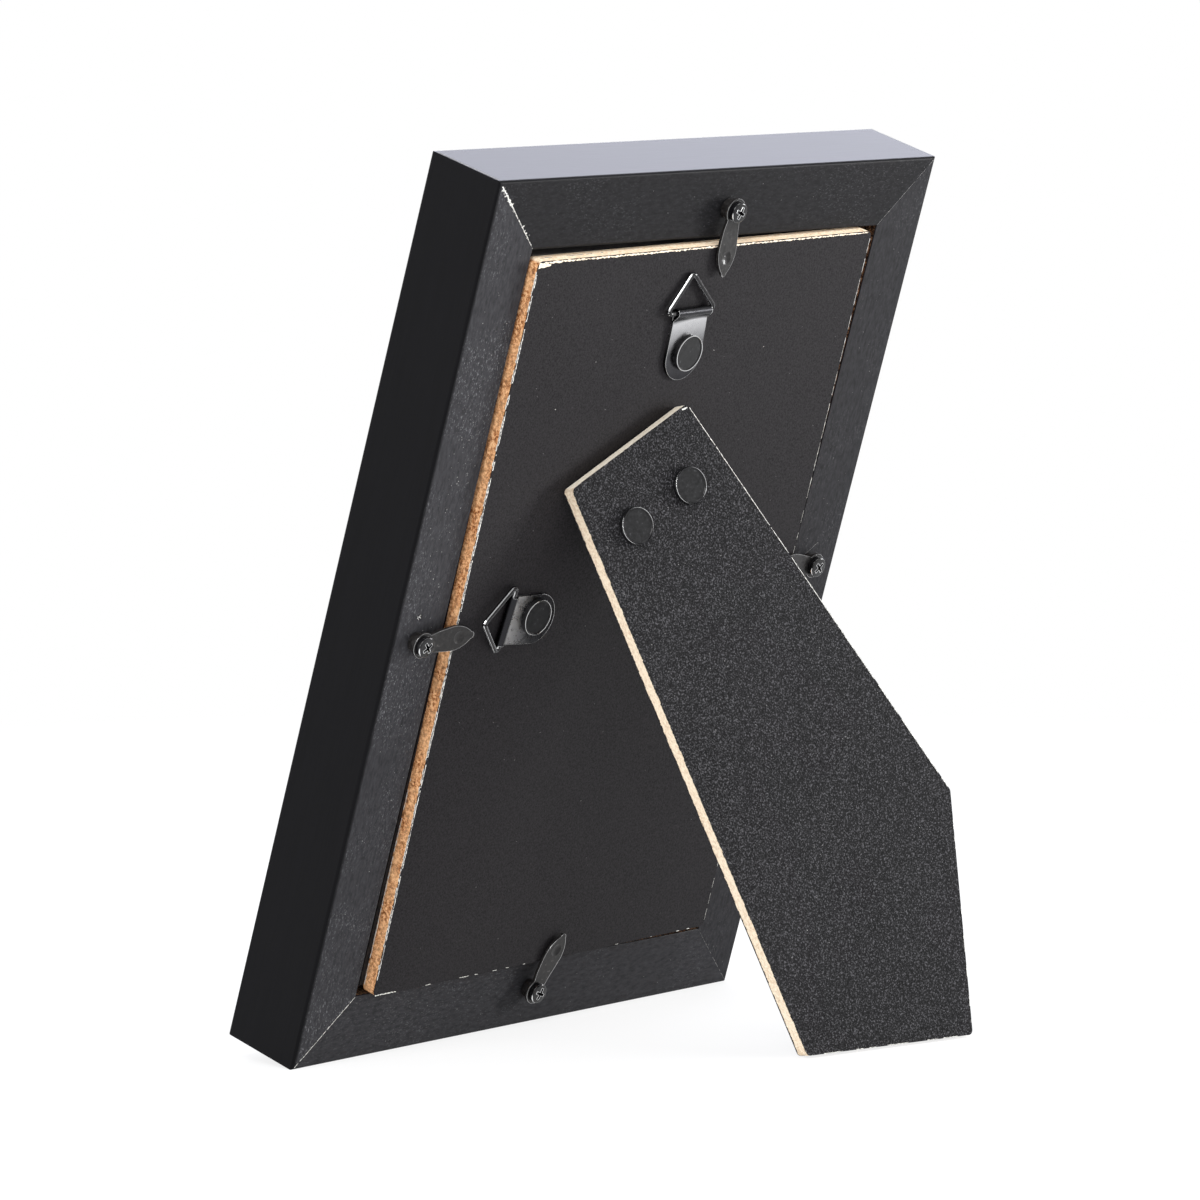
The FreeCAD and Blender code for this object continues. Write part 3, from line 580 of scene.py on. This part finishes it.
def bare_steel(name):
    """Make rolled steel with faint scratches."""
    steel = Finish(name, (0.55, 0.55, 0.54), 0.3, Metallic=1.0)
    lines = steel.noise(1.0, 3.0, 0.6, steel.stretch((LEAN, 0, 0), (3000, 3000, 90)))
    steel.rough(steel.grey(lines, 0.3, 0.7, 0.22, 0.42))
    steel.colour(steel.ramp(lines, [(0.3, (0.42, 0.42, 0.41)), (0.7, (0.62, 0.62, 0.6))]))
    steel.bump(lines, 0.000008)
    return steel


dress(bare_steel("zinc_steel"), "hinge_board_leaf", "hinge_board_rivets", "hinge_pin", "hinge_leg_leaf",
      "corner_v_nails")
glass = Finish("clear_glass", (1, 1, 1), 0.02, Transmission_Weight=1.0, IOR=1.5)
glass.rough(glass.grey(glass.noise(25, 2.0, 0.5), 0.3, 0.7, 0.005, 0.03))
dress(glass, "glass_pane")
blank = Finish("blank_print", (0.8, 0.8, 0.79), 0.35, Specular_IOR_Level=0.5)
paper_tone = blank.ramp(blank.noise(12, 2.0, 0.5), [(0.3, (0.76, 0.77, 0.77)), (0.7, (0.83, 0.83, 0.81))])
# The picture side keeps the paper's colour; every other face is painted black as painted shade.
front = turned_to(blank, -OUT, 0.2, 0.5)
blank.colour(blank.mix(front, (0.012, 0.011, 0.01), paper_tone))
dress(blank, "picture_print")
dress(raw_edge("black_card", (0.004, 0.004, 0.004), (0.009, 0.008, 0.008), (0.02, 0.018, 0.017)),
      "filler_card")

# %% [markdown]
# ## Rims of the rivets
# A rivet's head is pressed with a raised rim. A rim is one small circle spun once round the rivet's
# axis. Its finish asks which way the rim faces: a painted highlight bright on the left, black on the
# rest.

# %% Spin the rims


def add_piece(name, mesh, finish, body):
    """Turn a bmesh into a piece that rides on a body and has a finish."""
    bmesh.ops.recalc_face_normals(mesh, faces=mesh.faces)
    piece = into_room(name, mesh)
    piece.data.materials.append(finish.material)
    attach(piece, body)
    print(name, "has", len(piece.data.polygons), "faces")


LEG_OPENING = math.radians(30)
LEG_FACE = 4.8  # millimetres from the hinge's axis to the leg's outer face
leg_joint = joint("leg_fold")
LEG_ORIGIN = Vector(leg_joint["pos_m"])
LEG_RIGHT = Vector(leg_joint["axis"]).normalized()
LEG_OUT = OUT.copy()
LEG_OUT.rotate(Matrix.Rotation(-LEG_OPENING, 3, LEG_RIGHT))
LEG_UP = LEG_OUT.cross(LEG_RIGHT)


def on_leg(x, y, z=LEG_FACE):
    """Give the room's place for millimetres measured on the leg's outer face, from its hinge."""
    return LEG_ORIGIN + (LEG_RIGHT * x + LEG_UP * y + LEG_OUT * z) * MM


HEAD_REACH = 5 * MM  # how far round a place a rivet's head can reach
TOP_DEPTH, RIM_DEPTH = 0.01 * MM, 0.35 * MM  # how far below its highest point its top and its rim can lie


def head_top(node, out, middle=None):
    """Find a rivet head's top, near a place: the mean of its highest vertices along out, and its radius."""
    points = [v.co for v in frame["nodes"][node].data.vertices]
    if middle is not None:
        points = [co for co in points if (co - middle).length < HEAD_REACH]
    highest = max(co.dot(out) for co in points)
    top = [co for co in points if highest - co.dot(out) < TOP_DEPTH]
    centre = sum(top, Vector()) / len(top)
    radius = max((co - centre).length for co in points if highest - co.dot(out) < RIM_DEPTH)
    return centre, radius


def rim(name, body, node, out, glint_way, amount, middle=None):
    """Spin a rim round a rivet's head and paint a highlight on one side of it."""
    centre, radius = head_top(node, out, middle)
    print(name, "head radius", round(1000 * radius, 2), "mm")
    side = out.orthogonal().normalized()
    ring = bmesh.new()
    thick = 0.1 * MM
    bmesh.ops.create_circle(ring, segments=8, radius=thick,
                            matrix=Matrix.Translation(centre + side * (radius - 1.6 * thick))
                            @ facing(side.cross(out)))
    bmesh.ops.spin(ring, geom=ring.verts[:] + ring.edges[:], cent=centre, axis=out, angle=math.tau,
                   steps=48, use_merge=True)
    bmesh.ops.remove_doubles(ring, verts=ring.verts, dist=0.001 * MM)
    # The rim's bright side is a painted highlight.
    glint_finish = Finish(name, (0.01, 0.01, 0.01), 0.22, Metallic=1.0)
    scuff = glint_finish.noise(1500, 3.0, 0.6)
    bright = glint_finish.mix(0.25, turned_to(glint_finish, glint_way, 0.1, 0.75), scuff)
    glint_finish.colour(glint_finish.ramp(bright, [(0.2, (0.012, 0.012, 0.013)), (0.75, (amount, amount, amount))]))
    glint_finish.rough(glint_finish.grey(scuff, 0.3, 0.7, 0.16, 0.3))
    add_piece(name, ring, glint_finish, body)


LEG_RIVET_X, LEG_RIVET_Y = 7.65, -8.3
rim("left_leg_rivet_rim", "leg", "leg_rivets", LEG_OUT, (-LEG_RIGHT - LEG_UP * 0.35).normalized(), 0.75,
    on_leg(-LEG_RIVET_X, LEG_RIVET_Y))
rim("right_leg_rivet_rim", "leg", "leg_rivets", LEG_OUT, (-LEG_RIGHT + LEG_UP * 0.1).normalized(), 0.7,
    on_leg(LEG_RIVET_X, LEG_RIVET_Y))
for side in ("top", "left"):
    rim(f"{side}_rivet_rim", "frame", f"{side}_hanger_rivet", OUT, (RISE * 0.4 - RIGHT + OUT).normalized(),
        0.6)

# %% [markdown]
# ## Glinting edges of the pressed parts
# Every button, strap and screw is outlined by a hair whose colour is a painted highlight, brightest on
# the side the light comes from. The sharp corners are found on a copy of the imported mesh: its doubled
# vertices are merged, and the edges where the top face turns down are kept. Those edges become a curve
# with a round section, as thin as a hair.

# %% Outline the pressed parts


SHARP_CORNER = math.radians(35)
LIGHT_SIDE = (OUT * 0.5 - RIGHT * 0.7 - RISE * 0.5).normalized()


def painted_glint_outline(node, body, radius, bright):
    """Lay a hair along a piece's sharp upper edges, with a highlight painted brightest on its light side."""
    copy = bmesh.new()
    copy.from_mesh(frame["nodes"][node].data)
    bmesh.ops.remove_doubles(copy, verts=copy.verts, dist=0.002 * MM)
    copy.normal_update()
    kept = set()
    for edge in copy.edges:
        if len(edge.link_faces) != 2 or not edge.is_convex:
            continue
        slopes = sorted(face.normal.dot(OUT) for face in edge.link_faces)
        if edge.calc_face_angle() > SHARP_CORNER and slopes[1] > 0.6 and slopes[0] < 0.55:
            kept.add(edge)
    bmesh.ops.delete(copy, geom=copy.faces[:], context="FACES_ONLY")
    bmesh.ops.delete(copy, geom=[edge for edge in copy.edges if edge not in kept], context="EDGES")
    bmesh.ops.delete(copy, geom=[vert for vert in copy.verts if not vert.link_edges], context="VERTS")
    name = f"{node}_painted_glint_edge"
    hair = into_room(name, copy)
    bpy.ops.object.select_all(action="DESELECT")
    bpy.context.view_layer.objects.active = hair
    hair.select_set(True)
    bpy.ops.object.convert(target="CURVE")
    hair.data.bevel_depth = radius * MM
    hair.data.bevel_resolution = 1
    hair.data.use_fill_caps = True
    bpy.ops.object.convert(target="MESH")
    hair.data.materials.clear()
    # Its bright side is a painted highlight.
    bare = enamel_with_painted_glints(name, (0.02, 0.02, 0.02), [(LIGHT_SIDE, 0.0, 0.8)], bright)
    hair.data.materials.append(bare.material)
    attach(hair, body)
    print(name, "runs along", len(kept), "edges with", len(hair.data.polygons), "faces")


for side in ("top", "bottom", "left", "right"):
    painted_glint_outline(f"{side}_button", f"{side}_turn_button", 0.055, 0.4)
    painted_glint_outline(f"{side}_button_screw", "frame", 0.06, 0.8)
for side in ("top", "left"):
    painted_glint_outline(f"{side}_hanger_strap", "frame", 0.045, 0.5)

# %% [markdown]
# ## Torn edges
# A saw tears the foil and the paper along every cut. That leaves pale ragged lips a few tenths of a
# millimetre wide, which the eye finds at once on black. Each lip is a thin grid strip: every row across
# it gets its own width and place by chance, and gaps are cut where the edge is whole. A little
# thickness makes it solid. It lies on the surface that carries it, so it looks right from any side.

# %% Tear a strip


STRIP_LIFT, STRIP_SWELL, STRIP_THICKNESS = 0.02, 0.03, 0.015  # millimetres off the surface that carries it


def torn_strip(name, body, slot, finish, start, end, side, lift, width, keep, ragged, step, taper=1.0):
    """Tear a strip from start to end, with side across it and lift away from its surface, in millimetres."""
    dice = random.Random(name)
    run = end - start
    rows = max(4, int(run.length / (step * MM)))
    strip = bmesh.new()
    bmesh.ops.create_grid(strip, x_segments=rows, y_segments=2, size=1.0)
    widths = [1 - ragged * dice.random() for _ in range(rows + 1)]
    shifts = [ragged * (dice.random() - 0.5) * 0.5 for _ in range(rows + 1)]
    whole = []
    while len(whole) < rows:
        gone = dice.random() > keep
        whole += [not gone] * dice.randint(1, 5 if gone else 9)
    torn = [face for face in strip.faces if not whole[int((face.calc_center_median().x + 1) / 2 * rows)]]
    bmesh.ops.delete(strip, geom=torn, context="FACES")
    for vert in strip.verts:
        share = (vert.co.x + 1) / 2
        row = round(share * rows)
        across = (vert.co.y / 2 * widths[row] + shifts[row]) * width * (1 + (taper - 1) * share)
        rise = STRIP_LIFT + (STRIP_SWELL if abs(vert.co.y) < 0.5 else 0.0)
        vert.co = start + run * share + (side * across + lift * rise) * MM
    bmesh.ops.solidify(strip, geom=strip.faces, thickness=STRIP_THICKNESS * MM)
    add_piece(name, strip, finish, body)


def torn_fibre(name, colour, roughness, grain, dark, light, light_at):
    """Make torn paper or fibre that runs from a dark tone to a light one in a fine grain."""
    torn = Finish(name, colour, roughness)
    torn.colour(torn.ramp(torn.noise(grain, 3.0, 0.7), [(0.3, dark), (light_at, light)]))
    return torn


chip = torn_fibre("pale_chips", (0.7, 0.68, 0.63), 0.8, 2600,
                  (0.35, 0.33, 0.29), (0.85, 0.84, 0.78), 0.6)
dull_chip = torn_fibre("dull_chips", (0.16, 0.155, 0.15), 0.8, 2600,
                       (0.05, 0.05, 0.05), (0.3, 0.29, 0.28), 0.65)
cream_chip = torn_fibre("cream_chips", (0.85, 0.72, 0.55), 0.85, 2200,
                        (0.7, 0.5, 0.32), (0.95, 0.86, 0.7), 0.6)
black_lip = torn_fibre("black_lip", (0.01, 0.01, 0.01), 0.8, 2200,
                       (0.004, 0.004, 0.004), (0.02, 0.018, 0.018), 0.7)
print("chips come in pale, dull, cream and black")

# %% [markdown]
# ## Mitres on the rails
# The four rails meet in mitres. The cut at the upper left is badly chipped at its outer end, the one at
# the lower left shows as a dashed pale line, and the two on the right are only faint. A strip lies
# along each. The foil's two sheets also meet in a pale line on the upper left corner's top.

# %% Chip the mitres
MITRE_OUTER, MITRE_INNER = (65.4, 90.4), (52.2, 77.2)
for name, sign_x, sign_y, width, keep, finish, taper in (
        ("top_left_mitre", -1, 1, 0.36, 0.82, chip, 0.5), ("bottom_left_mitre", -1, -1, 0.2, 0.86, chip, 1.0),
        ("top_right_mitre", 1, 1, 0.16, 0.85, dull_chip, 0.8),
        ("bottom_right_mitre", 1, -1, 0.14, 0.6, dull_chip, 0.8)):
    outer = on_frame(MITRE_OUTER[0] * sign_x, MITRE_OUTER[1] * sign_y)
    inner = on_frame(MITRE_INNER[0] * sign_x, MITRE_INNER[1] * sign_y)
    way = (outer - inner).normalized()
    torn_strip(name, "frame", "rail_black", finish, outer, inner, way.cross(OUT), OUT, width, keep,
               0.95, 0.16, taper)
torn_strip("top_left_chips", "frame", "rail_black", chip, on_frame(-65.2, 90.3), on_frame(-61.0, 86.1),
           (RIGHT + RISE).normalized(), OUT, 1.1, 0.4, 0.95, 0.2, 0.35)
torn_strip("left_seam", "frame", "rail_black", dull_chip, on_frame(-65.55, 91, -16.6),
           on_frame(-65.55, 91, -0.8), RIGHT, RISE, 0.3, 0.97, 0.3, 0.5)
torn_strip("rail_scratch", "frame", "rail_black", dull_chip, on_frame(59.3, 8.4), on_frame(56.0, 6.1),
           (RISE - RIGHT * 0.6).normalized(), OUT, 0.12, 0.95, 0.5, 0.2, 0.5)

# %% [markdown]
# ## Lips of the board
# The board is turned by about a degree in its opening. Its black paper is torn back along the cuts:
# white along the left, wide and cream along the top with a bare corner at the upper left, and fine on
# the right.

# %% Tear the board's paper
BOARD_TURN = math.radians(0.894)
BOARD_X, BOARD_Y, BOARD_PROUD = -0.4, -0.08, 1.9  # the board's middle, and how far its paper stands out


def on_board(x, y, z=0.0):
    """Give the room's place for millimetres measured on the board's paper, from the board's middle."""
    return on_frame(x * math.cos(BOARD_TURN) - y * math.sin(BOARD_TURN) + BOARD_X,
                    x * math.sin(BOARD_TURN) + y * math.cos(BOARD_TURN) + BOARD_Y, BOARD_PROUD + z)


BOARD_RIGHT = (on_board(1, 0) - on_board(0, 0)).normalized()
BOARD_UP = (on_board(0, 1) - on_board(0, 0)).normalized()
board_lip = ("frame", "fibreboard")
torn_strip("left_lip", *board_lip, chip, on_board(-49.9, 74), on_board(-49.9, -74.5), BOARD_RIGHT, OUT, 0.3,
           0.82, 0.9, 0.3)
torn_strip("left_fringe", *board_lip, chip, on_board(-50, 74, -0.2), on_board(-50, -74.5, -0.2), OUT,
           -BOARD_RIGHT, 0.3, 0.55, 0.9, 0.35)
torn_strip("left_low_fringe", *board_lip, chip, on_board(-50, -30, -2.85), on_board(-50, -74.5, -2.85), OUT,
           -BOARD_RIGHT, 0.28, 0.75, 0.9, 0.35)
torn_strip("top_lip", *board_lip, cream_chip, on_board(-48.8, 75.75), on_board(48.8, 75.8), BOARD_UP,
           OUT, 0.55, 0.93, 0.85, 0.35, 0.6)
torn_strip("top_corner", *board_lip, cream_chip, on_board(-49.9, 75.2), on_board(-46.5, 75.2), BOARD_UP, OUT,
           1.3, 1.0, 0.25, 0.4, 0.3)
torn_strip("top_grey_fringe", *board_lip, dull_chip, on_board(-48, 76, -1.7), on_board(-30, 76, -1.7), OUT,
           BOARD_UP, 0.3, 0.6, 0.8, 0.4)
torn_strip("right_lip", *board_lip, chip, on_board(49.9, 74.5), on_board(49.9, -74.5), BOARD_RIGHT, OUT, 0.16,
           0.5, 0.8, 0.3)
torn_strip("bottom_chips", *board_lip, chip, on_board(-49.6, -75.85), on_board(-43.5, -75.85), BOARD_UP, OUT,
           0.3, 0.9, 0.9, 0.2)
torn_strip("bottom_lip", *board_lip, chip, on_board(-43, -75.9), on_board(48, -75.9), BOARD_UP,
           OUT, 0.14, 0.16, 0.8, 0.3)

# %% [markdown]
# ## Lips of the leg
# The leg was punched out of papered board, so its borders are cleaner: the cream core is edged by
# ragged black paper on both faces, and its long right edge shows as a thin beaded white line. All of
# these strips ride on the leg.

# %% Tear the leg's paper
TOP_LEFT, TOP_RIGHT = (-16.35, 5.1), (16.35, 5.1)
KNEE, FOOT, TOE = (28.49, -91.56), (5.68, -134.81), (-30.67, -115.64)
CORNER_GAP = 0.9  # millimetres that a strip stops short of a corner


def leg_edge(name, first, last, z, finish, width, keep, ragged, on_wall, inset=0.0, slot="fibreboard"):
    """Run a torn strip along one straight edge of the leg, on its cut wall or on its outer face."""
    start, end = on_leg(*first, z), on_leg(*last, z)
    way = (end - start).normalized()
    outward = way.cross(LEG_OUT)
    if outward.dot((start + end) / 2 - on_leg(0, -60, z)) < 0:
        outward = -outward
    start, end = start + way * CORNER_GAP * MM, end - way * CORNER_GAP * MM
    if on_wall:
        torn_strip(name, "leg", slot, finish, start, end, LEG_OUT, outward, width, keep, ragged, 0.35)
    else:
        shift = outward * -inset * MM
        torn_strip(name, "leg", slot, finish, start + shift, end + shift, outward, LEG_OUT, width, keep,
                   ragged, 0.3)


leg_edge("leg_top_border", TOP_LEFT, TOP_RIGHT, 4.62, black_lip, 0.2, 0.6, 0.8, True, slot="black_paper")
leg_edge("leg_left_border", TOP_LEFT, TOE, 4.55, black_lip, 0.35, 0.8, 0.9, True, slot="black_paper")
leg_edge("leg_left_back_border", TOP_LEFT, TOE, 1.8, black_lip, 0.35, 0.8, 0.9, True, slot="black_paper")
leg_edge("leg_right_line", TOP_RIGHT, KNEE, LEG_FACE, chip, 0.17, 0.86, 0.7, False, 0.09)
leg_edge("leg_foot_lip", FOOT, TOE, LEG_FACE, chip, 0.14, 0.35, 0.8, False, 0.08)
leg_edge("leg_knee_lip", KNEE, FOOT, LEG_FACE, chip, 0.12, 0.3, 0.8, False, 0.08)
torn_strip("leg_corner_chip", "leg", "fibreboard", chip, on_leg(14.6, 4.75), on_leg(15.9, 4.5), LEG_UP,
           LEG_OUT, 0.5, 1.0, 0.4, 0.25, 0.6)

# %% [markdown]
# ## Dust
# Dust lies on every black face. Each flake is a small flattened ball with its own size and turn. Most
# of them are on the left rail and near the leg's top.

# %% Scatter dust flakes


def dust(name, body, slot, finish, places, lift, small, large):
    """Lay one flattened ball on each place, its size between small and large millimetres."""
    dice = random.Random(name)
    flakes = bmesh.new()
    flat = facing(lift)
    for place in places:
        radius = dice.uniform(small, large) * MM / 2
        turn = Matrix.Rotation(dice.uniform(0, math.tau), 4, "Z")
        squeeze = Matrix.Diagonal((1, dice.uniform(0.4, 0.9), 0.3, 1))
        bmesh.ops.create_icosphere(flakes, subdivisions=1, radius=radius,
                                   matrix=Matrix.Translation(place) @ flat @ turn @ squeeze)
    add_piece(name, flakes, finish, body)


dice = random.Random("dust places")
burrs = []
for _ in range(34):
    along, off = dice.triangular(0, 13, 0.5), dice.uniform(-0.3, 0.3)
    burrs.append(on_frame(-65.3 + along + off, 90.3 - along + off))
dust("mitre_burrs", "frame", "rail_black", chip, burrs, OUT, 0.15, 0.6)
dust("left_rail_dust", "frame", "rail_black", dull_chip,
     [on_frame(dice.triangular(-64, -53, -57), dice.triangular(-80, 82, 42)) for _ in range(150)],
     OUT, 0.12, 0.34)
dust("other_rail_dust", "frame", "rail_black", dull_chip,
     [on_frame(dice.uniform(-50, 64), dice.choice((-1, 1)) * dice.uniform(78.5, 89)) for _ in range(60)]
     + [on_frame(dice.uniform(54, 64), dice.uniform(-80, 80)) for _ in range(50)], OUT, 0.1, 0.25)
dust("board_dust", "frame", "black_paper", dull_chip,
     [on_board(dice.uniform(-47, 47), dice.uniform(-73, 73)) for _ in range(90)], OUT, 0.1, 0.24)
dust("board_white_dust", "frame", "black_paper", chip,
     [on_board(24, 53.5), on_board(8.6, 53.9), on_board(-35.5, 45.2), on_board(-26.7, 54.2)], OUT, 0.2, 0.32)
LEFT_SPREAD, RIGHT_SPREAD = 0.1186, 0.1256  # how much the leg widens on each side for each millimetre down
ABOVE_TABLE = 0.012  # metres
leg_places = []
for _ in range(160):
    y = dice.triangular(-114, 3.5, -8)
    left = -16.3 + (y - 5.1) * LEFT_SPREAD + 1
    right = 16.3 + (5.1 - y) * RIGHT_SPREAD - 1
    leg_places.append(on_leg(dice.uniform(left, right), y))
dust("leg_dust", "leg", "black_paper", dull_chip,
     [place for place in leg_places if place.z > ABOVE_TABLE], LEG_OUT, 0.12, 0.3)

# %% [markdown]
# ## A curl of swarf
# Driving the left screw left a bright curl of swarf on the rail beside the button. A spring like this
# is a small circle that is spun and moved along at the same time.

# %% Curl the swarf
swarf = bmesh.new()
curl_middle = on_frame(-60.6, 3.1, 0.32)
bmesh.ops.create_circle(swarf, segments=6, radius=0.07 * MM,
                        matrix=Matrix.Translation(curl_middle + OUT * 0.22 * MM)
                        @ facing((RISE - RIGHT).normalized()))
axis = (RIGHT + RISE * 0.6).normalized()
bmesh.ops.spin(swarf, geom=swarf.edges[:], cent=curl_middle, axis=axis, dvec=axis * 0.028 * MM,
               angle=math.radians(620), steps=36, use_merge=False, use_duplicate=False)
bmesh.ops.holes_fill(swarf, edges=[edge for edge in swarf.edges if edge.is_boundary], sides=0)
bright_swarf = Finish("bright_swarf", (0.8, 0.8, 0.78), 0.25, Metallic=1.0)
bright_swarf.rough(bright_swarf.grey(bright_swarf.noise(3000, 2.0, 0.5), 0.3, 0.7, 0.15, 0.4))
add_piece("swarf_curl", swarf, bright_swarf, "frame")
